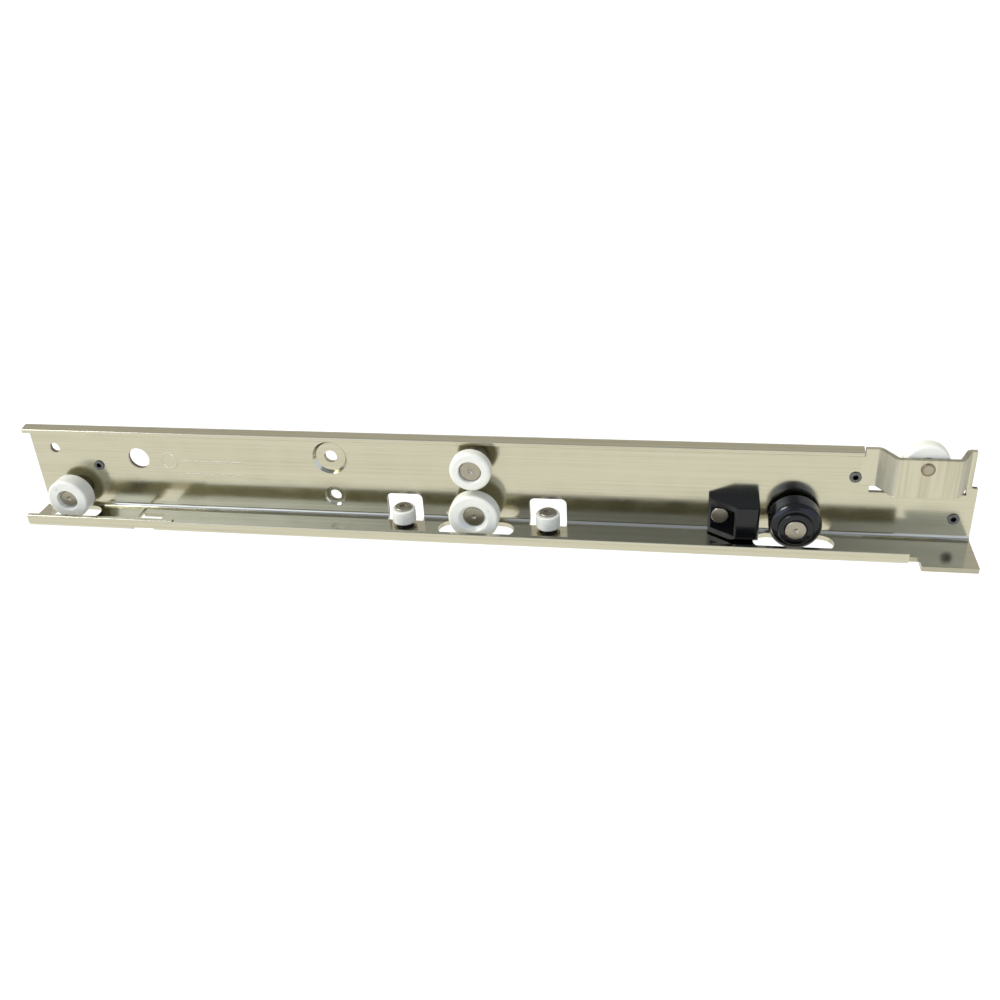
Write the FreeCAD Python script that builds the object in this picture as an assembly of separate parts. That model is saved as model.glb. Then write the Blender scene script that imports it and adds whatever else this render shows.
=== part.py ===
import FreeCAD, Part

import math
import os

os.makedirs("parts", exist_ok=True)

Vector = FreeCAD.Vector

# Carriage rail of a full-extension roller slide, in millimetres.
# X runs along the rail from its middle, -Y is the open front of the channel, +Z is up.
# The web's front face is Y = 0 and the underside of the bottom flange is Z = 0.

# ---- sheet and section ----
rail_length = 500.0
roller_headroom = 3.7       # from the upper roller's top to the rail's top
channel_depth = 22.8        # web's front face to the outside of the lip
sheet = 2.5
top_bend_radius = 1.5       # inside radii of the long bends
bottom_bend_radius = 2.4
lip_bend_radius = 0.6
lip_height = 6.7
lip_left_rise = 0.7         # the lip is this much taller over its first stretch
lip_left_length = 86.5
top_flange_reach = 6.3
top_flange_droop = 12.0     # degrees below level
edge_round = 0.3

# ---- clearances ----
running_clearance = 0.05    # radial, roller on its axle
end_play = 0.12             # beside a roller, at its head and at its spacer
flange_clearance = 1.4      # upper roller in front of the tip of the top flange

# ---- axles and rivets ----
journal_radius = 4.0
tenon_step = 1.0            # tenon thinner than the journal
tail_overhang = 1.6         # tail wider than the tenon
tail_height = 1.2
spacer_wall = 2.2
spacer_least_wall = 1.0     # where the bottom bend leaves it little room
head_overhang = 1.5         # head wider than the journal
head_height = 1.5
head_proud = 0.5            # head in front of the roller's face
head_sink_gap = 0.25        # around a head sunk in a roller
seat_chamfer = 0.4
seat_round = 0.3

# ---- rollers, places along the rail from its left end ----
left_roller_x = 21.4
left_roller_radius = 11.7
left_roller_width = 9.8
left_roller_floor = 1.1     # lowest point above the flange's underside
left_head_overhang = 0.6
left_head_depth = 2.2       # head behind the roller's face
left_head_gap = 1.0

middle_rollers_offset = 2.3  # from the rail's middle, towards the right end
lower_roller_radius = 13.3
lower_roller_width = 8.4
lower_roller_drop = 2.1     # below the flange's underside
lower_head_depth = 2.6
lower_seat_flare = 1.9      # its mouth is dished out by this much
lower_seat_round = 1.2
upper_roller_radius = 10.8
upper_roller_width = 6.6
upper_edge_round = 1.8
upper_head_depth = 1.6
middle_rollers_gap = 3.3    # between the two tyres

buffer_roller_from_right = 85.0
buffer_roller_radius = 12.9
buffer_roller_width = 11.8
buffer_roller_back = 2.6    # in front of the web
buffer_roller_floor = 0.5
buffer_front_round = 3.4
buffer_head_overhang = 1.1
buffer_hub_radius = 8.6
buffer_hub_height = 1.6     # in front of the tread's shoulder

rear_roller_from_right = 26.7
rear_roller_radius = 11.0
rear_roller_width = 7.5
rear_roller_below_top = 6.7
rear_washer_height = 0.6
rear_washer_wall = 1.0
rear_tenon_step = 1.6
rear_tail_overhang = 0.9
rear_tail_height = 0.6
roller_edge_round = 1.3

# ---- slots under the rollers ----
slot_back = 1.9             # in front of the web
slot_front_gap = 2.1        # in front of the rollers
slot_end_gap = 7.0          # beyond the tyre, at each end
left_slot_end_gap = 2.8

# ---- guide rollers in the web's windows ----
guide_offset = 1.8          # middle of the pair, from the rail's middle
guide_spacing = 77.6
guide_radius = 6.3
guide_height = 7.6
guide_axis_y = -6.3
guide_washer_height = 1.7
guide_washer_wall = 2.1
guide_journal_radius = 2.5
guide_tenon_step = 0.5
guide_head_overhang = 2.0
guide_head_height = 1.1
guide_head_wall = 2.6       # round the hollow in its top
guide_head_hollow = 0.8
guide_tail_overhang = 1.0
guide_tail_height = 0.8
window_offset = 0.7         # its middle is this far left of the guide roller's
window_side_gap = 3.5       # beside the guide roller
window_top_gap = 3.8        # above its head
window_round = 3.0
window_flange_notch = 3.3

# ---- bridge for the rear roller ----
bridge_height = 20.1
bridge_drop = 1.9           # top edge below the top of the flange
bridge_slit = 3.8
bridge_slit_overrun = (2.7, 0.6)    # beyond the foot of the left and the right ramp
bridge_side_gap = (3.3, 5.0)        # between the roller and those ramps, along the flat
bridge_left_angle = 32.0    # ramps, from square to the web
bridge_right_angle = 26.0
bridge_bend_radius = 1.0
bridge_landing = 6.1        # flat web left of the ramp
roller_behind_web = 0.2
flange_relief = 1.4
flange_relief_depth = 6.0
end_step = 3.0              # upper corner stands back from the rail's right end
end_step_round = 1.5

# ---- tab at the right end ----
tab_length = 26.4
tab_reach = 27.0
tab_relief = 5.3
tab_relief_reach = 19.0
tab_round = 0.8

# ---- holes in the web ----
end_hole = (12.8, 14.8, 3.0)       # from the left end, below the top, radius
access_hole = (62.3, 19.9, 6.2)
dimples_from_middle = 76.7
big_dimple_below_top = 15.9
big_dimple_radius = 9.5
big_dimple_depth = 1.8
big_dimple_hole = 3.5
small_dimple_height = 14.0
small_dimple_radius = 5.7
small_dimple_depth = 0.9
small_dimple_hole = 3.3
dimple_slope = 0.8          # radius lost per millimetre of depth

# ---- cut beside the left roller ----
latch_cut_x = 61.6
latch_cut_length = 13.2
latch_cut_back = 7.0
latch_slit_width = 1.6
latch_slit_back = 2.4
latch_slit_front = 13.0
latch_lip_cut = 2.2         # height of the notch under the lip

# ---- small rivets ----
small_rivet_left = (37.4, 24.9)     # from the left end, below the top
small_rivet_bridge = (57.3, 17.5)   # from the right end, below the top
small_rivet_end = (8.8, 13.9)       # from the right end, above the flange's underside
small_rivet_shank = 1.9
small_rivet_overhang = 1.0  # head and tail wider than the shank
small_rivet_head_height = 0.7
small_rivet_wall = 0.5      # round its hollow
small_rivet_hollow_depth = 2.4

# ---- stop block ----
stop_from_right = 127.4
stop_length = 25.0
stop_height = 19.5
stop_floor = 1.0            # above the flange
stop_thin = 3.5
stop_thick = 13.0
stop_ramp_length = 13.8
stop_wall = 2.8
stop_pocket_floor = 3.0
stop_pocket_start = 1.2
stop_nose_round = 3.0
stop_edge_round = 0.6
stop_back_chamfer = 1.5     # clears the bend beside it
stop_rivet_x = 5.8
stop_rivet_head = 4.4
stop_rivet_head_height = 1.4
stop_rivet_shank = 2.2

# ---- sizes and places worked out from those above ----
tenon_radius = journal_radius - tenon_step
tail_radius = tenon_radius + tail_overhang
head_radius = journal_radius + head_overhang
rear_tenon_radius = journal_radius - rear_tenon_step
rear_tail_radius = rear_tenon_radius + rear_tail_overhang
rear_washer_radius = journal_radius + rear_washer_wall
guide_tenon_radius = guide_journal_radius - guide_tenon_step
guide_tail_radius = guide_tenon_radius + guide_tail_overhang
guide_head_radius = guide_journal_radius + guide_head_overhang
guide_washer_radius = guide_journal_radius + guide_washer_wall
small_rivet_head = small_rivet_shank + small_rivet_overhang
small_rivet_hollow = small_rivet_shank - small_rivet_wall
web_flat_bottom = sheet + bottom_bend_radius
left_end = -rail_length / 2
right_end = rail_length / 2
roller_front = top_flange_reach + flange_clearance + upper_roller_width
buffer_roller_front = buffer_roller_back + buffer_roller_width
flange_tip = -channel_depth
lip_inside = -channel_depth + sheet


def from_left(distance):
    return left_end + distance


def from_right(distance):
    return right_end - distance


middle_x = middle_rollers_offset
left_x = from_left(left_roller_x)
buffer_x = from_right(buffer_roller_from_right)
rear_x = from_right(rear_roller_from_right)
left_z = left_roller_floor + left_roller_radius
lower_z = max(lower_roller_radius - lower_roller_drop,
              web_flat_bottom + journal_radius + spacer_least_wall)
spacer_radius = min(journal_radius + spacer_wall, lower_z - web_flat_bottom)
upper_z = lower_z + lower_roller_radius + middle_rollers_gap + upper_roller_radius
rail_height = upper_z + upper_roller_radius + roller_headroom
buffer_z = buffer_roller_floor + buffer_roller_radius
rear_z = rail_height - rear_roller_below_top
guide_floor = sheet + guide_washer_height
guide_top = guide_floor + end_play + guide_height + end_play
guide_centres = (guide_offset - guide_spacing / 2, guide_offset + guide_spacing / 2)
bridge_offset = sheet + rear_washer_height + 2 * end_play + rear_roller_width - roller_behind_web
bridge_top = rail_height - bridge_drop
bridge_bottom = bridge_top - bridge_height
slit_bottom = bridge_bottom - bridge_slit
bridge_left = rear_x - rear_roller_radius - bridge_side_gap[0]
bridge_right = rear_x + rear_roller_radius + bridge_side_gap[1]
bridge_left_corner = bridge_left - bridge_offset * math.tan(math.radians(bridge_left_angle))
bridge_right_corner = bridge_right + bridge_offset * math.tan(math.radians(bridge_right_angle))
flange_end = bridge_left_corner - bridge_landing - flange_relief
tab_start = from_right(tab_length)
lip_end = tab_start - tab_relief
stop_left = from_right(stop_from_right)
stop_bottom = sheet + stop_floor
stop_rivet_at = (stop_left + stop_rivet_x, stop_bottom + stop_height / 2)
small_rivet_places = [
    (from_left(small_rivet_left[0]), rail_height - small_rivet_left[1]),
    (from_right(small_rivet_bridge[0]), rail_height - small_rivet_bridge[1]),
    (from_right(small_rivet_end[0]), small_rivet_end[1]),
]


# ---- shared shapes ----
def rounded_wire(corners, place):
    """Closed wire through (u, v, radius) corners, each turned by an arc of its radius."""
    count = len(corners)
    edges = []
    ends = []
    arcs = []
    for i in range(count):
        u, v, radius = corners[i]
        before = corners[i - 1]
        after = corners[(i + 1) % count]
        a = math.hypot(before[0] - u, before[1] - v)
        b = math.hypot(after[0] - u, after[1] - v)
        to_before = ((before[0] - u) / a, (before[1] - v) / a)
        to_after = ((after[0] - u) / b, (after[1] - v) / b)
        if radius <= 0:
            ends.append(((u, v), (u, v)))
            arcs.append(None)
            continue
        cosine = to_before[0] * to_after[0] + to_before[1] * to_after[1]
        half = math.acos(max(-1.0, min(1.0, cosine))) / 2
        reach = radius / math.tan(half)
        middle = (to_before[0] + to_after[0], to_before[1] + to_after[1])
        size = math.hypot(middle[0], middle[1])
        near = radius / math.sin(half) - radius
        start = (u + to_before[0] * reach, v + to_before[1] * reach)
        stop = (u + to_after[0] * reach, v + to_after[1] * reach)
        arcs.append((u + middle[0] / size * near, v + middle[1] / size * near))
        ends.append((start, stop))
    for i in range(count):
        start, stop = ends[i]
        if arcs[i]:
            edges.append(Part.Arc(place(*start), place(*arcs[i]), place(*stop)).toShape())
        following = ends[(i + 1) % count][0]
        if math.hypot(following[0] - stop[0], following[1] - stop[1]) > 1e-6:
            edges.append(Part.LineSegment(place(*stop), place(*following)).toShape())
    return Part.Wire(edges)


def sheet_wire(path, radii, place):
    """Section of bent sheet: path is one face, and the other lies to its left."""
    normals = []
    for (u0, v0), (u1, v1) in zip(path, path[1:]):
        size = math.hypot(u1 - u0, v1 - v0)
        normals.append((-(v1 - v0) / size, (u1 - u0) / size))
    near = [(path[0][0], path[0][1], edge_round)]
    far = [(path[0][0] + sheet * normals[0][0], path[0][1] + sheet * normals[0][1], edge_round)]
    for i in range(1, len(path) - 1):
        before = normals[i - 1]
        after = normals[i]
        share = 1 + before[0] * after[0] + before[1] * after[1]
        shift = ((before[0] + after[0]) * sheet / share, (before[1] + after[1]) * sheet / share)
        left_turn = before[0] * after[1] - before[1] * after[0] > 0
        near.append((path[i][0], path[i][1], radii[i - 1] + (sheet if left_turn else 0)))
        far.append((path[i][0] + shift[0], path[i][1] + shift[1],
                    radii[i - 1] + (0 if left_turn else sheet)))
    last = normals[-1]
    near.append((path[-1][0], path[-1][1], edge_round))
    far.append((path[-1][0] + sheet * last[0], path[-1][1] + sheet * last[1], edge_round))
    return rounded_wire(near + far[::-1], place)


def prism(wire, direction):
    return Part.Face(wire).extrude(direction)


def box(x0, x1, y0, y1, z0, z1):
    return Part.makeBox(x1 - x0, y1 - y0, z1 - z0, Vector(x0, y0, z0))


def rounded_box_y(x0, x1, z0, z1, radii, y0, y1):
    """Box cut along Y; radii are for the corners from low left, anticlockwise."""
    corners = [(x0, z0, radii[0]), (x1, z0, radii[1]), (x1, z1, radii[2]), (x0, z1, radii[3])]
    wire = rounded_wire(corners, lambda u, v: Vector(u, y0, v))
    return prism(wire, Vector(0, y1 - y0, 0))


def rounded_box_z(x0, x1, y0, y1, radii, z0, z1):
    corners = [(x0, y0, radii[0]), (x1, y0, radii[1]), (x1, y1, radii[2]), (x0, y1, radii[3])]
    wire = rounded_wire(corners, lambda u, v: Vector(u, v, z0))
    return prism(wire, Vector(0, 0, z1 - z0))


def turned(profile, centre):
    """Solid of revolution about -Y: profile is (radius, distance in front of the web, corner)."""
    wire = rounded_wire(profile, lambda r, h: Vector(r, -h, 0))
    solid = Part.Face(wire).revolve(Vector(0, 0, 0), Vector(0, 1, 0), 360)
    solid.translate(Vector(centre[0], 0, centre[1]))
    return solid


def turned_up(profile, x, y):
    """Solid of revolution about +Z: profile is (radius, height, corner)."""
    wire = rounded_wire(profile, lambda r, h: Vector(r, 0, h))
    solid = Part.Face(wire).revolve(Vector(0, 0, 0), Vector(0, 0, 1), 360)
    solid.translate(Vector(x, y, 0))
    return solid


def drill(x, z, radius, y0=-1.0, y1=sheet + 1.0):
    return Part.makeCylinder(radius, y1 - y0, Vector(x, y0, z), Vector(0, 1, 0))


# ---- rail ----
def rail_section(lip):
    droop = math.radians(top_flange_droop)
    rise = top_bend_radius * (1 + math.sin(droop)) / math.cos(droop)
    corner_z = rail_height - sheet - top_bend_radius + rise
    run = (top_flange_reach - sheet * math.sin(droop)) / math.cos(droop)
    path = [
        (-run * math.cos(droop), corner_z - run * math.sin(droop)),
        (0, corner_z),
        (0, sheet),
        (lip_inside, sheet),
        (lip_inside, lip),
    ]
    return path, [top_bend_radius, bottom_bend_radius, lip_bend_radius]


def rail_stretch(x0, x1, lip):
    path, radii = rail_section(lip)
    wire = sheet_wire(path, radii, lambda u, v: Vector(x0, u, v))
    return prism(wire, Vector(x1 - x0, 0, 0))


def bridge():
    """Upper right stretch of the web, set forward in a flat-topped loop."""
    path = [
        (flange_end - sheet, 0),
        (bridge_left_corner, 0),
        (bridge_left, -bridge_offset),
        (bridge_right, -bridge_offset),
        (bridge_right_corner, 0),
        (right_end + sheet, 0),
    ]
    front = -bridge_offset - 1
    back = sheet + 1
    wire = sheet_wire(path, [bridge_bend_radius] * 4, lambda u, v: Vector(u, v, slit_bottom))
    strip = prism(wire, Vector(0, 0, bridge_top - slit_bottom))
    strip = strip.common(box(flange_end, right_end, front, back, slit_bottom, bridge_top))
    strip = strip.cut(box(bridge_left_corner - bridge_slit_overrun[0],
                          bridge_right_corner + bridge_slit_overrun[1],
                          front, back, slit_bottom - 1, bridge_bottom))
    strip = strip.cut(box(flange_end - 1, flange_end + flange_relief, front, back,
                          rail_height - flange_relief_depth, rail_height))
    step = rounded_box_y(right_end - end_step, right_end + 1, bridge_bottom, rail_height,
                         (end_step_round, 0, 0, 0), front, back)
    return strip.cut(step)


def roller_slot(x, radius, end_gap, front):
    """Round-ended slot in the bottom flange under a roller."""
    half = radius + end_gap
    far = -(front + slot_front_gap)
    near = -slot_back
    corner = (near - far) / 2 - 0.01
    return rounded_box_z(x - half, x + half, far, near, [corner] * 4, -1, sheet + 1)


def window(x):
    half = guide_radius + window_side_gap
    middle = x - window_offset
    top = guide_top + guide_head_height + window_top_gap
    return rounded_box_y(middle - half, middle + half, -1, top, (0, 0, window_round, window_round),
                         -window_flange_notch, sheet + 1)


def dimple(x, z, radius, depth, hole):
    """Sheet pressed back round a hole: the boss to add and the recess to cut."""
    inner = radius - depth * dimple_slope
    boss = Part.makeCone(inner + sheet, inner + sheet * 0.6, depth,
                         Vector(x, sheet, z), Vector(0, 1, 0))
    recess = Part.makeCone(radius, inner, depth, Vector(x, 0, z), Vector(0, 1, 0))
    through = drill(x, z, hole, -1, sheet + depth + 1)
    return boss, recess.fuse(through)


def latch_cut():
    """Opening by the lip, with a slit beside it that runs back towards the web."""
    x0 = from_left(latch_cut_x)
    x1 = x0 + latch_cut_length
    opening = box(x0, x1, lip_inside, -latch_cut_back, -1, sheet + lip_bend_radius)
    notch = box(x0, x1, flange_tip - 1, -latch_cut_back, -1, latch_lip_cut)
    slit = box(x0 - latch_slit_width, x0 + 0.1, -latch_slit_front, -latch_slit_back, -1, sheet + 1)
    return opening.fuse(notch).fuse(slit)


def tab():
    corners = (tab_round, tab_round, 0, 0)
    return rounded_box_z(tab_start, right_end, -tab_reach, -bottom_bend_radius - sheet, corners, 0, sheet)


def rivet_places():
    """Centre and shank radius of everything riveted through the flat web."""
    return [
        (left_x, left_z, tenon_radius),
        (middle_x, lower_z, tenon_radius),
        (middle_x, upper_z, tenon_radius),
        (buffer_x, buffer_z, tenon_radius),
        (*stop_rivet_at, stop_rivet_shank),
    ] + [(x, z, small_rivet_shank) for x, z in small_rivet_places]


def rail():
    left = rail_stretch(left_end, from_left(lip_left_length), lip_height + lip_left_rise)
    right = rail_stretch(from_left(lip_left_length), right_end, lip_height)
    body = left.fuse(right)
    body = body.cut(box(flange_end, right_end + 1, -top_flange_reach - 2, sheet + 1,
                        slit_bottom, rail_height + 1))
    body = body.fuse(bridge())
    body = body.cut(box(lip_end, right_end + 1, flange_tip - 1, -tab_relief_reach,
                        -1, lip_height + 1))
    body = body.fuse(tab())
    dimples = [
        dimple(-dimples_from_middle, rail_height - big_dimple_below_top,
               big_dimple_radius, big_dimple_depth, big_dimple_hole),
        dimple(-dimples_from_middle, small_dimple_height,
               small_dimple_radius, small_dimple_depth, small_dimple_hole),
    ]
    for boss, recess in dimples:
        body = body.fuse(boss).cut(recess)
    cuts = [
        roller_slot(left_x, left_roller_radius, left_slot_end_gap, roller_front),
        roller_slot(middle_x, lower_roller_radius, slot_end_gap, roller_front),
        roller_slot(buffer_x, buffer_roller_radius, slot_end_gap, buffer_roller_front),
        latch_cut(),
    ]
    for x in guide_centres:
        cuts.append(window(x))
        cuts.append(Part.makeCylinder(guide_tenon_radius, sheet + 2, Vector(x, guide_axis_y, -1)))
    for x, below, radius in (end_hole, access_hole):
        cuts.append(drill(from_left(x), rail_height - below, radius))
    for x, z, radius in rivet_places():
        cuts.append(drill(x, z, radius))
    cuts.append(drill(rear_x, rear_z, rear_tenon_radius, -bridge_offset - 1, sheet - bridge_offset + 1))
    for cut in cuts:
        body = body.cut(cut)
    return body.removeSplitter()


# ---- rollers on the web ----
def spacer(back_of_roller, centre):
    profile = [
        (journal_radius, 0, 0),
        (spacer_radius, 0, 0.3),
        (spacer_radius, back_of_roller - end_play, 0.3),
        (journal_radius, back_of_roller - end_play, 0),
    ]
    return turned(profile, centre)


def web_axle(head, head_back, head_front, centre):
    """Shouldered rivet: head, journal, tenon through the web and an upset tail behind it."""
    profile = [
        (0, head_front, 0),
        (head, head_front, 0.4),
        (head, head_back, 0),
        (journal_radius, head_back, 0),
        (journal_radius, 0, 0),
        (tenon_radius, 0, 0),
        (tenon_radius, -sheet, 0),
        (tail_radius, -sheet, 0),
        (tail_radius, -sheet - tail_height, 0.5),
        (0, -sheet - tail_height, 0),
    ]
    punch_mark = Part.makeSphere(1.6, Vector(centre[0], -head_front - 1.0, centre[1]))
    return turned(profile, centre).cut(punch_mark)


def tyre(radius, back, front, edge, hub, head, seat, centre):
    """Roller on a running bore: hub is (radius, height) or None, head is (radius, gap, its
    front, its back) and seat is (flare, round)."""
    head_edge, gap, head_front, head_back = head
    flare, rounding = seat
    sink = head_edge + gap
    bore = journal_radius + running_clearance
    profile = [(bore, back, 0.3), (radius, back, roller_edge_round), (radius, front, edge)]
    face = front
    if hub:
        face = front + hub[1]
        profile += [(hub[0], front, 0), (hub[0], face, 0.6)]
    profile += [
        (sink + flare, face, rounding),
        (sink, min(head_front, face - seat_chamfer), 0),
        (sink, head_back - end_play, 0),
        (bore, head_back - end_play, 0),
    ]
    return turned(profile, centre)


def web_roller_set(name, centre, radius, back, front, edge=roller_edge_round, hub=None,
                   overhang=head_overhang, gap=head_sink_gap, proud=head_proud,
                   seat=(seat_chamfer, seat_round)):
    """Roller, its axle and the spacer behind it; proud is the head in front of the face."""
    head_front = front + proud + (hub[1] if hub else 0)
    head_back = head_front - head_height
    head = (journal_radius + overhang, gap, head_front, head_back)
    return {
        name: tyre(radius, back, front, edge, hub, head, seat, centre),
        name + "_axle": web_axle(journal_radius + overhang, head_back, head_front, centre),
        name + "_spacer": spacer(back, centre),
    }


def rear_roller_set():
    """Roller in the bridge's pocket: its head is behind, its tail is on the bridge's face."""
    centre = (rear_x, rear_z)
    face = bridge_offset
    inside = bridge_offset - sheet
    washer_end = inside - rear_washer_height
    front = washer_end - end_play
    back = front - rear_roller_width
    head_face = back - end_play
    roller = [
        (journal_radius + running_clearance, back, 0.3),
        (rear_roller_radius, back, roller_edge_round),
        (rear_roller_radius, front, roller_edge_round),
        (journal_radius + running_clearance, front, 0.3),
    ]
    axle = [
        (0, face + rear_tail_height, 0),
        (rear_tail_radius, face + rear_tail_height, 0.3),
        (rear_tail_radius, face, 0),
        (rear_tenon_radius, face, 0),
        (rear_tenon_radius, inside, 0),
        (journal_radius, inside, 0),
        (journal_radius, head_face, 0),
        (head_radius, head_face, 0),
        (head_radius, head_face - head_height, 0.4),
        (0, head_face - head_height, 0),
    ]
    washer = [
        (journal_radius, washer_end, 0),
        (rear_washer_radius, washer_end, 0),
        (rear_washer_radius, inside, 0),
        (journal_radius, inside, 0),
    ]
    return {
        "rear_roller": turned(roller, centre),
        "rear_roller_axle": turned(axle, centre),
        "rear_roller_washer": turned(washer, centre),
    }


# ---- guide rollers ----
def guide_set(side, x):
    low = guide_floor + end_play
    high = low + guide_height
    head_top = guide_top + guide_head_height
    bore = guide_journal_radius + running_clearance
    hollow = guide_head_radius - guide_head_wall
    roller = [
        (bore, low, 0.2),
        (guide_radius, low, 0.6),
        (guide_radius, high, 0.6),
        (bore, high, 0.2),
    ]
    axle = [
        (0, head_top - guide_head_hollow, 0),
        (hollow, head_top - guide_head_hollow, 0),
        (hollow, head_top, 0),
        (guide_head_radius, head_top, 0.4),
        (guide_head_radius, guide_top, 0),
        (guide_journal_radius, guide_top, 0),
        (guide_journal_radius, sheet, 0),
        (guide_tenon_radius, sheet, 0),
        (guide_tenon_radius, 0, 0),
        (guide_tail_radius, 0, 0),
        (guide_tail_radius, -guide_tail_height, 0.3),
        (0, -guide_tail_height, 0),
    ]
    washer = [
        (guide_journal_radius, sheet, 0),
        (guide_washer_radius, sheet, 0.2),
        (guide_washer_radius, guide_floor, 0.2),
        (guide_journal_radius, guide_floor, 0),
    ]
    return {
        "guide_roller_" + side: turned_up(roller, x, guide_axis_y),
        "guide_axle_" + side: turned_up(axle, x, guide_axis_y),
        "guide_washer_" + side: turned_up(washer, x, guide_axis_y),
    }


# ---- stop block and its rivet ----
def stop_block():
    x0 = stop_left
    x1 = x0 + stop_length
    ramp_end = x0 + stop_ramp_length
    top = stop_bottom + stop_height
    plan = [
        (x0, 0, 0),
        (x0, -stop_thin, stop_edge_round),
        (ramp_end, -stop_thick, 1.5),
        (x1, -stop_thick, 2.0),
        (x1, 0, 0),
    ]
    wire = rounded_wire(plan, lambda u, v: Vector(u, v, stop_bottom))
    block = prism(wire, Vector(0, 0, stop_height))
    side = [
        (-stop_thick - 5, stop_bottom - 5, 0),
        (5, stop_bottom - 5, 0),
        (5, stop_bottom + stop_back_chamfer + 5, 0),
        (-stop_back_chamfer, stop_bottom, 0),
        (-stop_thick, stop_bottom, stop_nose_round),
        (-stop_thick, top, stop_edge_round),
        (5, top, 0),
        (5, top + 5, 0),
        (-stop_thick - 5, top + 5, 0),
    ]
    outside = rounded_wire(side, lambda u, v: Vector(x0 - 1, u, v))
    block = block.cut(prism(outside, Vector(stop_length + 2, 0, 0)))
    pocket = box(x0 + stop_pocket_start, ramp_end - 1, -stop_thick - 1, -stop_pocket_floor,
                 stop_bottom + stop_wall, top - stop_wall)
    block = block.cut(pocket)
    return block.cut(drill(*stop_rivet_at, stop_rivet_shank, -stop_thick, 1)).removeSplitter()


def stop_block_rivet():
    head_back = stop_pocket_floor
    profile = [
        (0, head_back + stop_rivet_head_height, 0),
        (stop_rivet_head, head_back + stop_rivet_head_height, 0.5),
        (stop_rivet_head, head_back, 0),
        (stop_rivet_shank, head_back, 0),
        (stop_rivet_shank, -sheet, 0),
        (stop_rivet_head, -sheet, 0),
        (stop_rivet_head, -sheet - tail_height, 0.4),
        (0, -sheet - tail_height, 0),
    ]
    return turned(profile, stop_rivet_at)


def small_rivets():
    """Semi-tubular rivets in the web, all of one kind."""
    solids = []
    for centre in small_rivet_places:
        front = small_rivet_head_height
        profile = [
            (small_rivet_hollow, front, 0),
            (small_rivet_head, front, 0.3),
            (small_rivet_head, 0, 0),
            (small_rivet_shank, 0, 0),
            (small_rivet_shank, -sheet, 0),
            (small_rivet_head, -sheet, 0),
            (small_rivet_head, -sheet - small_rivet_head_height, 0.3),
            (0, -sheet - small_rivet_head_height, 0),
            (0, front - small_rivet_hollow_depth, 0),
            (small_rivet_hollow, front - small_rivet_hollow_depth, 0),
        ]
        solids.append(turned(profile, centre))
    return Part.makeCompound(solids)


# ---- build and write ----
def build():
    parts = {"rail": rail()}
    parts.update(web_roller_set("left_roller", (left_x, left_z), left_roller_radius,
                                roller_front - left_roller_width, roller_front,
                                overhang=left_head_overhang, gap=left_head_gap,
                                proud=-left_head_depth))
    parts.update(web_roller_set("upper_roller", (middle_x, upper_z), upper_roller_radius,
                                roller_front - upper_roller_width, roller_front,
                                edge=upper_edge_round, proud=-upper_head_depth))
    parts.update(web_roller_set("lower_roller", (middle_x, lower_z), lower_roller_radius,
                                roller_front - lower_roller_width, roller_front,
                                proud=-lower_head_depth,
                                seat=(lower_seat_flare, lower_seat_round)))
    parts.update(web_roller_set("buffer_roller", (buffer_x, buffer_z), buffer_roller_radius,
                                buffer_roller_back, buffer_roller_front,
                                edge=buffer_front_round,
                                hub=(buffer_hub_radius, buffer_hub_height),
                                overhang=buffer_head_overhang))
    parts.update(rear_roller_set())
    for side, x in zip(("left", "right"), guide_centres):
        parts.update(guide_set(side, x))
    parts["stop_block"] = stop_block()
    parts["stop_block_rivet"] = stop_block_rivet()
    parts["small_rivets"] = small_rivets()
    return parts


for node, shape in build().items():
    if not shape.isValid():
        raise ValueError(node + " is not a valid solid")
    shape.exportStep("parts/" + node + ".step")
    size = shape.BoundBox
    print(f"{node}: {len(shape.Solids)} solid(s), {shape.Volume:.0f} mm3,"
          f" {size.XLength:.1f} x {size.YLength:.1f} x {size.ZLength:.1f}")
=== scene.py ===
import bmesh
import bpy
import math
from mathutils import Matrix, Vector


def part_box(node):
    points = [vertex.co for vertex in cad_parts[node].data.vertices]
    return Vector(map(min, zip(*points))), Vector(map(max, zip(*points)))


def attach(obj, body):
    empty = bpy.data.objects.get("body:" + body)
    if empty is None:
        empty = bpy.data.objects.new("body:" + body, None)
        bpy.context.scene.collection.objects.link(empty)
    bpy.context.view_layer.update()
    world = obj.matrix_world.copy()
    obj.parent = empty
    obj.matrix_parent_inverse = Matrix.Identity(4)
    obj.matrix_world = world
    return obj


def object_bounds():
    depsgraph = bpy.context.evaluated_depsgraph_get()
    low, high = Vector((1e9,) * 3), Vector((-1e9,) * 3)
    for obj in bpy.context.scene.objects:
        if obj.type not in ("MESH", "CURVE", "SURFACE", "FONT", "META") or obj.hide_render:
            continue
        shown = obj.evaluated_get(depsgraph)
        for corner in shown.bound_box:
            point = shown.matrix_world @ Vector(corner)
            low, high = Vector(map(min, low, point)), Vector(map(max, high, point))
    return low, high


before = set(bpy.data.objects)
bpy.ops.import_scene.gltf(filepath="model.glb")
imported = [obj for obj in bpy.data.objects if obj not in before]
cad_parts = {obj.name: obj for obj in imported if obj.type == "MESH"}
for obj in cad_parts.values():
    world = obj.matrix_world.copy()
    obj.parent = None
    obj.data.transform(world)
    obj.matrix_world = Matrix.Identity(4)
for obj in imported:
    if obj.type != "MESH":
        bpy.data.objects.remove(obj)  # metres: X along the rail, -Y towards its open front, Z up
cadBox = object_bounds()
mm = 0.001
print("frame loaded:", len(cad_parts), "nodes")


def linear(hexColour):
    rgb = [int(hexColour[i:i + 2], 16) / 255 for i in (0, 2, 4)]
    return [c / 12.92 if c <= 0.04045 else ((c + 0.055) / 1.055) ** 2.4 for c in rgb] + [1.0]


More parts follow.
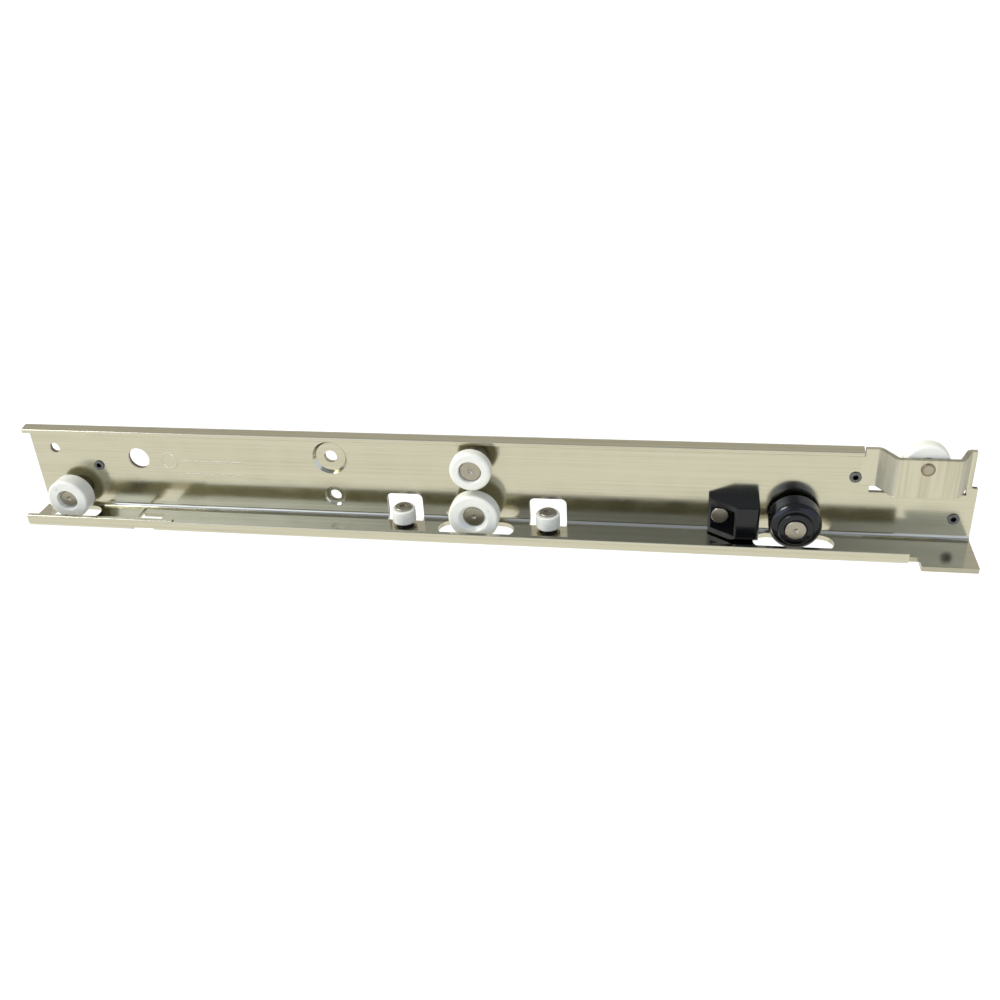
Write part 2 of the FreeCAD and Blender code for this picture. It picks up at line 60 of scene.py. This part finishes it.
# adds one node, with its settings as keywords and its sockets' values or links in a dictionary
def add(owner, kind, inputs=None, **settings):
    node = owner.node_tree.nodes.new("ShaderNode" + kind)
    for name, value in settings.items():
        setattr(node, name, value)
    for name, value in (inputs or {}).items():
        if isinstance(value, bpy.types.NodeSocket):
            owner.node_tree.links.new(value, node.inputs[name])
        else:
            node.inputs[name].default_value = value
    return node


def newMaterial(name):
    material = bpy.data.materials.new(name)
    material.use_nodes = True
    return material, material.node_tree.nodes["Principled BSDF"]


def finish(material, surface, colour=None, rough=None, height=None, metal=0.0):
    links = material.node_tree.links
    if colour:
        links.new(colour, surface.inputs["Base Color"])
    if rough:
        links.new(rough, surface.inputs["Roughness"])
    if height:
        bump = add(material, "Bump", {"Height": height, "Distance": 1.0, "Strength": 1.0})
        links.new(bump.outputs[0], surface.inputs["Normal"])
    surface.inputs["Metallic"].default_value = metal
    return material


# one arithmetic step of a material
def sums(owner, operation, *values):
    return add(owner, "Math", dict(enumerate(values)), operation=operation).outputs[0]


def noise(owner, place, size, detail=3.0, roughness=0.5):
    return add(owner, "TexNoise", {"Vector": place, "Scale": 1 / (size * mm), "Detail": detail,
                                   "Roughness": roughness}).outputs["Fac"]


def blend(owner, factor, first, second):
    return add(owner, "Mix", {"Factor": factor, 6: first, 7: second}, data_type="RGBA").outputs[2]


def mixed(owner, factor, first, second):
    return add(owner, "Mix", {"Factor": factor, 2: first, 3: second}, data_type="FLOAT").outputs[0]


def ramp(owner, value, low, high, toLow=0.0, toHigh=1.0):
    return add(owner, "MapRange", {"Value": value, "From Min": low, "From Max": high,
                                   "To Min": toLow, "To Max": toHigh}).outputs[0]


def wear(nodes, material):
    for name in nodes:
        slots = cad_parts[name].data.materials
        slots.clear()
        slots.append(material)


def addPiece(name, data, body, material):
    data.materials.append(material)
    piece = bpy.data.objects.new(name, data)
    bpy.context.scene.collection.objects.link(piece)
    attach(piece, body)


def middle(node):
    low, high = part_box(node)
    return (low + high) / 2


camera = {
    "place": (0.11168, -0.47948, 0.29314),
    "yaw": -11.467,    # degrees, clockwise from +Y seen from above
    "pitch": 29.602,   # looking down
    "roll": -3.596,
    "lens": 38.306,    # mm, as the sensor
    "sensor": 36.0,
    "nearest": 0.01,   # metres, as place
    "farthest": 50,
}


def addCamera():
    yaw, pitch, roll = (math.radians(camera[k]) for k in ("yaw", "pitch", "roll"))
    forward = Vector((math.sin(yaw) * math.cos(pitch), math.cos(yaw) * math.cos(pitch), -math.sin(pitch)))
    level = Vector((math.cos(yaw), -math.sin(yaw), 0))
    upright = level.cross(forward)
    right = math.cos(roll) * level + math.sin(roll) * upright
    up = math.cos(roll) * upright - math.sin(roll) * level
    data = bpy.data.cameras.new("camera")
    data.lens = camera["lens"]
    data.sensor_width = camera["sensor"]
    data.clip_start = camera["nearest"]
    data.clip_end = camera["farthest"]
    rig = bpy.data.objects.new("camera", data)
    turn = Matrix((right, up, -forward)).transposed().to_4x4()
    rig.matrix_world = Matrix.Translation(camera["place"]) @ turn
    bpy.context.scene.collection.objects.link(rig)
    bpy.context.scene.camera = rig


addCamera()
print("camera placed")


studio = {
    "floorDrop": 0.45,       # metres; the rail hangs by its slide line, well above the floor
    "floorSize": 24.0,
    "floorColour": "F9F6EA",
    "floorRoughness": 0.9,
    "floorSpecular": 0.1,
    "keyFrom": (-0.66, -0.14, 0.74),
    "keyAngle": 24.0,        # degrees across, as a large round softbox would look
    "keyStrength": 2.3,
    "roomBehind": 0.66,      # brightness of the room beyond the rail
    "roomFront": 0.62,       # and of the darker room in front of it
    "leftWindow": 2.3,       # added at the left of the front
    "leftFade": (-0.12, -0.44),   # where it starts and is full, as the X of a direction
    "rightDoor": 1.0,        # added at its right
    "rightFade": (0.13, 0.22),
    "sidesTop": (0.72, 0.6),      # and where both fade away upwards
    "frontFade": (0.15, -0.15),   # from behind the rail to in front of it
    "frontTint": "D0DBFC",
    "backTint": "FFFDF8",
}


def addFloor():
    mesh = bpy.data.meshes.new("floor")
    shape = bmesh.new()
    half = studio["floorSize"] / 2
    low = cadBox[0].z - studio["floorDrop"]
    corners = ((-half, -half), (half, -half), (half, half), (-half, half))
    shape.faces.new([shape.verts.new((x, y, low)) for x, y in corners])
    shape.to_mesh(mesh)
    shape.free()
    floor = bpy.data.objects.new("floor", mesh)
    bpy.context.scene.collection.objects.link(floor)
    # matt white paint on board: hardly any gloss, so it does not mirror the rail
    paint, surface = newMaterial("mattWhitePaint")
    surface.inputs["Base Color"].default_value = linear(studio["floorColour"])
    surface.inputs["Roughness"].default_value = studio["floorRoughness"]
    surface.inputs["Specular IOR Level"].default_value = studio["floorSpecular"]
    mesh.materials.append(paint)


# soft room: even behind, darker in front with bright sides, and plain white to the camera
def addRoom():
    world = bpy.data.worlds.new("room")
    world.use_nodes = True
    bpy.context.scene.world = world
    s = studio
    towards = add(world, "SeparateXYZ", {0: add(world, "TexCoord").outputs["Generated"]})
    left = ramp(world, towards.outputs["X"], *s["leftFade"], 0.0, s["leftWindow"])
    right = ramp(world, towards.outputs["X"], *s["rightFade"], 0.0, s["rightDoor"])
    low = ramp(world, towards.outputs["Z"], *s["sidesTop"])
    sides = sums(world, "MULTIPLY", sums(world, "ADD", left, right), low)
    front = sums(world, "ADD", sides, s["roomFront"])
    inFront = ramp(world, towards.outputs["Y"], *s["frontFade"])
    level = mixed(world, inFront, s["roomBehind"], front)
    tint = blend(world, inFront, linear(s["backTint"]), linear(s["frontTint"]))
    room = world.node_tree.nodes["Background"]
    world.node_tree.links.new(tint, room.inputs["Color"])
    world.node_tree.links.new(level, room.inputs["Strength"])
    backdrop = add(world, "Background", {"Color": (1, 1, 1, 1), "Strength": 1.0})
    seen = add(world, "LightPath").outputs["Is Camera Ray"]
    mix = add(world, "MixShader", {0: seen, 1: room.outputs[0], 2: backdrop.outputs[0]})
    world.node_tree.links.new(mix.outputs[0], world.node_tree.nodes["World Output"].inputs["Surface"])


def addKey():
    data = bpy.data.lights.new("key", "SUN")
    data.energy = studio["keyStrength"]
    data.angle = math.radians(studio["keyAngle"])
    lamp = bpy.data.objects.new("key", data)
    lamp.matrix_world = Vector(studio["keyFrom"]).to_track_quat("Z", "Y").to_matrix().to_4x4()
    bpy.context.scene.collection.objects.link(lamp)


addFloor()
addRoom()
addKey()
bpy.context.scene.view_settings.view_transform = "Standard"
print("studio lit")


zincSheet = {
    "colour": "C1BDA6",
    "clouded": "ADA78E",
    # dark brown of the sheared edges: partly the cut steel's own tone, partly painted shade in the slits
    # and cut openings
    "sheared": "6E6556",
    "roughness": (0.13, 0.19),
    "shearedRoughness": 0.5,
    "rampRoughness": 0.7,     # the bridge's ramps, scuffed by the press tool
    "rollLine": (180, 0.8),   # mm along and across
    "rollSpan": (0.4, 0.66),  # the stretch of the noise that shows, as in each span below
    "cloud": 14,              # mm
    "cloudSpan": (0.3, 0.7),
    "grain": 0.4,             # mm, on torn edges, drawn coarser than it is
    "rollHeight": 0.008,      # mm
    "grainHeight": 0.03,      # mm
    "pressLine": (2.2, 25, 83.3),   # mm, streaks where the bridge was drawn over its tool
    "pressSpan": (0.42, 0.68),
    "pressStain": 0.8,        # how dark the darkest of them is
    "pressHeight": 0.035,     # mm
    "burnished": (0.8, 1.1),  # mm, where a sheared edge turns from shiny to torn
    "burnishedLeft": 0.35,    # how much of the torn look the shiny band keeps
    "bridge": [("place", "X", 222, 27), ("place", "Z", 42, 10.8)],
    "steep": (0.15, 0.4),     # how far a face leans along the rail, from flat to ramp
}

# The sheared edges: each row is tests of (which vector, axis, middle, reach), with places in mm.
shearedFaces = [
    [("facing", "Y", 0, 0.35), ("place", "Y", 1.27, 1.13), ("place", "Z", 26, 22)],
    [("facing", "Z", 0, 0.35), ("place", "Z", 1.25, 1.1), ("place", "Y", -12, 7.8)],
    [("facing", "Z", 0, 0.35), ("place", "Z", 1.25, 1.1), ("place", "Y", -25, 2.1)],
    [("facing", "Y", 0, 0.35), ("place", "Y", -5.2, 5.6), ("place", "X", 222, 27), ("place", "Z", 42, 11),
     ("facing", "X", 0, 0.3)],
    [("facing", "Y", 0, 0.3), ("facing", "Z", 0, 0.3)],
]


def allOf(material, sources, tests):
    inside = None
    for which, axis, centre, reach in tests:
        unit = mm if which == "place" else 1
        test = sums(material, "COMPARE", sources[which].outputs[axis], centre * unit, reach * unit)
        inside = test if inside is None else sums(material, "MULTIPLY", inside, test)
    return inside


# Bright zinc on cold-rolled strip: mirror-like but blurred, with faint lines along the strip.
# Sheared edges are duller and a darker brown, with a shiny band where the punch went in; that darker brown
# is partly the cut steel's own tone and partly painted shade in the slits and cut openings.
def zincPlatedSteel():
    m, surface = newMaterial("zincPlatedSteel")
    s = zincSheet
    where = add(m, "TexCoord")
    place = where.outputs["Object"]
    sources = {"place": add(m, "SeparateXYZ", {0: place}),
               "facing": add(m, "SeparateXYZ", {0: where.outputs["Normal"]})}
    along, across = (1 / (d * mm) for d in s["rollLine"])
    rolled = add(m, "Mapping", {"Vector": place, "Scale": (along, across, across)}).outputs[0]
    lines = add(m, "TexNoise", {"Vector": rolled, "Scale": 1.0, "Detail": 5.0,
                                "Roughness": 0.6}).outputs["Fac"]
    clouds = noise(m, place, s["cloud"])
    grain = noise(m, place, s["grain"], 2.0)

    edge = 0.0
    for tests in shearedFaces:
        edge = sums(m, "MAXIMUM", allOf(m, sources, tests), edge)
    low, high = s["burnished"]
    burnish = ramp(m, sources["place"].outputs["Y"], low * mm, high * mm, s["burnishedLeft"])
    torn = sums(m, "MULTIPLY", edge, burnish)
    bridge = allOf(m, sources, s["bridge"])
    steep = ramp(m, sums(m, "ABSOLUTE", sources["facing"].outputs["X"]), *s["steep"])
    ramps = sums(m, "MULTIPLY", bridge, steep)

    drawn = add(m, "Mapping", {"Vector": place, "Scale": [1 / (d * mm) for d in s["pressLine"]]}).outputs[0]
    press = add(m, "TexNoise", {"Vector": drawn, "Scale": 1.0, "Detail": 3.0}).outputs["Fac"]
    streaks = sums(m, "MULTIPLY", clouds, ramp(m, lines, *s["rollSpan"]))
    upright = ramp(m, press, *s["pressSpan"], 0.0, s["pressStain"])
    streaks = mixed(m, bridge, streaks, upright)
    plated = blend(m, streaks, linear(s["colour"]), linear(s["clouded"]))
    # torn faces take the dark brown: the cut steel's own duller tone plus painted shade in the slits and
    # openings
    colour = blend(m, torn, plated, linear(s["sheared"]))
    low, high = s["roughness"]
    rough = ramp(m, clouds, *s["cloudSpan"], low, high)
    rough = mixed(m, ramps, rough, s["rampRoughness"])
    rough = mixed(m, torn, rough, s["shearedRoughness"])

    pressHeight = sums(m, "MULTIPLY", sums(m, "MULTIPLY", press, s["pressHeight"] * mm), bridge)
    height = sums(m, "MULTIPLY_ADD", lines, s["rollHeight"] * mm, pressHeight)
    height = sums(m, "MULTIPLY_ADD", sums(m, "MULTIPLY", grain, torn), s["grainHeight"] * mm, height)
    return finish(m, surface, colour, rough, height, 1.0)


zinc = zincPlatedSteel()
wear(["rail"], zinc)
print("rail plated")


nylonRoller = {
    "colour": "E4E0CA",
    "shade": "DAD8C4",
    "roughness": 0.36,
    "ior": 1.53,
    "milkiness": 0.35,
    "depth": 1.6,        # mm that light travels in it
    "depthByColour": (1.0, 1.0, 0.9),
    "flow": 5.0,         # mm, faint clouding from the melt
    "texture": 0.5,      # mm
    "textureHeight": 0.006,
}


# Natural nylon, injection moulded: milky, light goes a little way in, and the face is satin.
def naturalNylon():
    m, surface = newMaterial("naturalNylon")
    s = nylonRoller
    place = add(m, "TexCoord").outputs["Object"]
    colour = blend(m, noise(m, place, s["flow"], 2.0), linear(s["colour"]), linear(s["shade"]))
    height = sums(m, "MULTIPLY", noise(m, place, s["texture"], 2.0), s["textureHeight"] * mm)
    surface.inputs["Roughness"].default_value = s["roughness"]
    surface.inputs["IOR"].default_value = s["ior"]
    surface.inputs["Subsurface Weight"].default_value = s["milkiness"]
    surface.inputs["Subsurface Radius"].default_value = s["depthByColour"]
    surface.inputs["Subsurface Scale"].default_value = s["depth"] * mm
    return finish(m, surface, colour, None, height)


nylon = naturalNylon()
nylonNodes = ["left_roller", "upper_roller", "lower_roller", "rear_roller", "guide_roller_left",
              "guide_roller_right"]
wear(nylonNodes, nylon)
print("nylon rollers moulded")


blackMoulding = {
    "colour": "0D0D0D",
    "roughness": (0.13, 0.2),
    "ior": 1.4,
    "flow": 6.0,          # mm
    "flowSpan": (0.3, 0.7),
    "texture": 0.6,       # mm
    "textureHeight": 0.004,
}


# Black acetal, injection moulded in a polished tool: deep black with a clear soft gloss.
def blackAcetal():
    m, surface = newMaterial("blackAcetal")
    s = blackMoulding
    place = add(m, "TexCoord").outputs["Object"]
    low, high = s["roughness"]
    rough = ramp(m, noise(m, place, s["flow"]), *s["flowSpan"], low, high)
    height = sums(m, "MULTIPLY", noise(m, place, s["texture"], 2.0), s["textureHeight"] * mm)
    surface.inputs["Base Color"].default_value = linear(s["colour"])
    surface.inputs["IOR"].default_value = s["ior"]
    return finish(m, surface, None, rough, height)


acetal = blackAcetal()
wear(["buffer_roller", "stop_block"], acetal)
print("black mouldings done")


headedRivet = {
    "colour": "ADA795",
    "dull": "8C8574",
    "roughness": 0.3,
    "stain": 2.5,          # mm
    "darkRingColour": "77684E",
    "darkRingAmount": 0.8,
    "darkRingFrom": 2.0,     # mm from the middle of a tail
    "darkRingTo": 2.7,
    "ring": 0.45,          # mm between the rings that the header leaves
    "ringHeight": 0.006,
}


# Cold-headed wire, zinc plated: a grey-brown satin head with faint rings about its own axis.
def coldHeadedSteel(name, centre, axis, tailRing=0.0):
    m, surface = newMaterial("coldHeadedSteel_" + name)
    s = headedRivet
    place = add(m, "TexCoord").outputs["Object"]
    own = add(m, "VectorMath", {0: place, 1: centre}, operation="SUBTRACT").outputs[0]
    flat = (1, 0, 1) if axis == "Y" else (1, 1, 0)
    own = add(m, "VectorMath", {0: own, 1: flat}, operation="MULTIPLY").outputs[0]
    radius = add(m, "VectorMath", {0: own}, operation="LENGTH").outputs["Value"]
    rings = sums(m, "SINE", sums(m, "MULTIPLY", radius, 2 * math.pi / (s["ring"] * mm)))
    colour = blend(m, noise(m, place, s["stain"], 4.0), linear(s["colour"]), linear(s["dull"]))
    # browner beyond 2.0 to 2.7 mm from the middle, so the middle of a tail stays lighter
    darkRing = sums(m, "MULTIPLY", ramp(m, radius, s["darkRingFrom"] * mm, s["darkRingTo"] * mm), tailRing)
    colour = blend(m, darkRing, colour, linear(s["darkRingColour"]))
    surface.inputs["Roughness"].default_value = s["roughness"]
    return finish(m, surface, colour, None, sums(m, "MULTIPLY", rings, s["ringHeight"] * mm), 1.0)


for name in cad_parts:
    rearWasher = name == "rear_roller_washer"
    if "axle" in name or "spacer" in name or rearWasher or name == "stop_block_rivet":
        darkRing = headedRivet["darkRingAmount"] if name == "rear_roller_axle" else 0.0
        wear([name], coldHeadedSteel(name, middle(name), "Z" if "guide" in name else "Y", darkRing))
print("axles and rivets plated")


blackSteelAndShade = {
    "ring": "77756F",
    # the oxide's black, which also serves as painted shade in the rivets' hollows and on the guide washers
    "deep": "171716",
    "roughness": 0.5,
    "metallic": 0.7,      # the oxide hides some of the metal
    "patch": 0.8,         # mm
    "patchSpan": (0.35, 0.65),
    "patchLeast": 0.6,    # how grey the least rubbed patch still is
    "proud": (-0.25, -0.4),   # mm, from flush with the web to standing out of it
    "rivetsRubbed": 1.0,
    # the guide washers keep at least nine tenths of the black: painted shade for the dark gap under each
    # guide roller
    "washersGrey": 0.1,
}


# Black oxide on steel: a thin matt black, rubbed through to grey where it stands proud. At and behind flush
# with the web it stays near-black, which is painted shade in the rivets' hollow centres.
def blackOxideAndPaintedShade(name, greyWhereProud):
    m, surface = newMaterial("blackOxideAndPaintedShade_" + name)
    s = blackSteelAndShade
    place = add(m, "TexCoord").outputs["Object"]
    patchy = ramp(m, noise(m, place, s["patch"]), *s["patchSpan"], s["patchLeast"])
    depth = add(m, "SeparateXYZ", {0: place}).outputs["Y"]
    flush, out = s["proud"]
    # near-black at and behind flush with the web: painted shade in each rivet's hollow; grey only where it
    # stands proud
    proud = ramp(m, depth, flush * mm, out * mm, 0.0, greyWhereProud)
    colour = blend(m, sums(m, "MULTIPLY", patchy, proud), linear(s["deep"]), linear(s["ring"]))
    surface.inputs["Roughness"].default_value = s["roughness"]
    return finish(m, surface, colour, None, None, s["metallic"])


wear(["small_rivets"], blackOxideAndPaintedShade("rivets", blackSteelAndShade["rivetsRubbed"]))
# near-black guide washers: painted shade for the dark gap under each guide roller
wear(["guide_washer_left", "guide_washer_right"],
     blackOxideAndPaintedShade("washers", blackSteelAndShade["washersGrey"]))
print("small rivets and guide washers blackened")


mouldMarks = {
    "seamHeight": 0.07,   # mm
    "seamWidth": 0.22,
    "gateRadius": 0.9,
    "gateHeight": 0.12,
    "gateFrom": 0.72,     # of the way out to the tread
    "gateTurn": {"left_roller": 2.2, "lower_roller": 0.6},   # radians, up from +X
    "segments": 128,
}


# a ring or disc turned about a roller's axis from (radius, distance along the axis) corners
def turned(name, corners, centre, axis):
    mesh = bpy.data.meshes.new(name)
    shape = bmesh.new()
    count = mouldMarks["segments"]
    rows = []
    for k in range(count):
        angle = 2 * math.pi * k / count
        c, s = math.cos(angle), math.sin(angle)
        row = []
        for r, h in corners:
            offset = (r * c, h, r * s) if axis == "Y" else (r * c, r * s, h)
            row.append(shape.verts.new(centre + Vector(offset)))
        rows.append(row)
    for k in range(count):
        for j in range(len(corners)):
            a, b = rows[k], rows[(k + 1) % count]
            n = (j + 1) % len(corners)
            shape.faces.new((a[j], a[n], b[n], b[j])).smooth = True
    bmesh.ops.remove_doubles(shape, verts=shape.verts[:], dist=1e-7)
    bmesh.ops.recalc_face_normals(shape, faces=shape.faces[:])
    shape.to_mesh(mesh)
    shape.free()
    return mesh


# thin raised line where the two halves of the mould met, round the middle of the tread
def addPartingLine(node, material):
    s = mouldMarks
    axis = "Z" if node.startswith("guide") else "Y"
    low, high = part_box(node)
    radius = (high.x - low.x) / 2
    half = s["seamWidth"] * mm / 2
    rise = s["seamHeight"] * mm
    below = [(radius - rise, -half), (radius, -half), (radius + rise, -half / 3)]
    corners = below + [(r, -h) for r, h in reversed(below)]
    addPiece("partingLine_" + node, turned("partingLine_" + node, corners, middle(node), axis),
             node, material)


# small round scar on the face where the melt came in
def addGateMark(node, angle, material):
    s = mouldMarks
    low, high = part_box(node)
    reach = (high.x - low.x) / 2 * s["gateFrom"]
    centre = middle(node) + Vector((reach * math.cos(angle), 0, reach * math.sin(angle)))
    centre.y = low.y
    r = s["gateRadius"] * mm
    h = s["gateHeight"] * mm
    corners = [(0, h), (r, h), (r, -h / 3), (r * 0.8, -h), (r * 0.55, -h), (r * 0.4, -h / 2), (0, -h / 2)]
    addPiece("gateMark_" + node, turned("gateMark_" + node, corners, centre, "Y"), node, material)


for node in nylonNodes:
    addPartingLine(node, nylon)
addPartingLine("buffer_roller", acetal)
for node, turn in mouldMarks["gateTurn"].items():
    addGateMark(node, turn, nylon)
print("mould marks added")


stampedMark = {
    "left": -169.5,       # mm
    "high": 32.5,
    "ring": 4.6,          # mm radius
    "rows": ((0.0, (4.5, 2.5, 3.5, 6.5, 2.5, 5.5)), (-8.0, (2.5, 4.0, 2.5, 2.5, 4.0, 2.5, 4.0))),
    "gap": 1.8,
    "bead": 0.5,          # mm radius of the bead that stands out of the sheet
    "rise": 0.11,
    "ringPoints": 48,
}


# plain stamped mark on the web, a ring and two rows of dashes, that stands for the maker's stamping
def addStampedMark():
    s = stampedMark
    curve = bpy.data.curves.new("stampedMark", "CURVE")
    curve.dimensions = "3D"
    curve.bevel_depth = s["bead"] * mm
    curve.bevel_resolution = 4
    curve.use_fill_caps = True
    depth = (s["bead"] - s["rise"]) * mm

    def stroke(points, closed=False):
        line = curve.splines.new("POLY")
        line.points.add(len(points) - 1)
        for point, (x, z) in zip(line.points, points):
            point.co = (x * mm, depth, z * mm, 1)
        line.use_cyclic_u = closed

    left, high, radius, count = s["left"], s["high"], s["ring"], s["ringPoints"]
    turns = [2 * math.pi * k / count for k in range(count)]
    stroke([(left + radius * math.cos(t), high + radius * math.sin(t)) for t in turns], True)
    for drop, dashes in s["rows"]:
        x = left + radius + 2 * s["gap"]
        for length in dashes:
            stroke([(x, high + drop), (x + length, high + drop)])
            x += length + s["gap"]
    addPiece("stampedMark", curve, "carriage", zinc)


addStampedMark()
print("mark stamped")
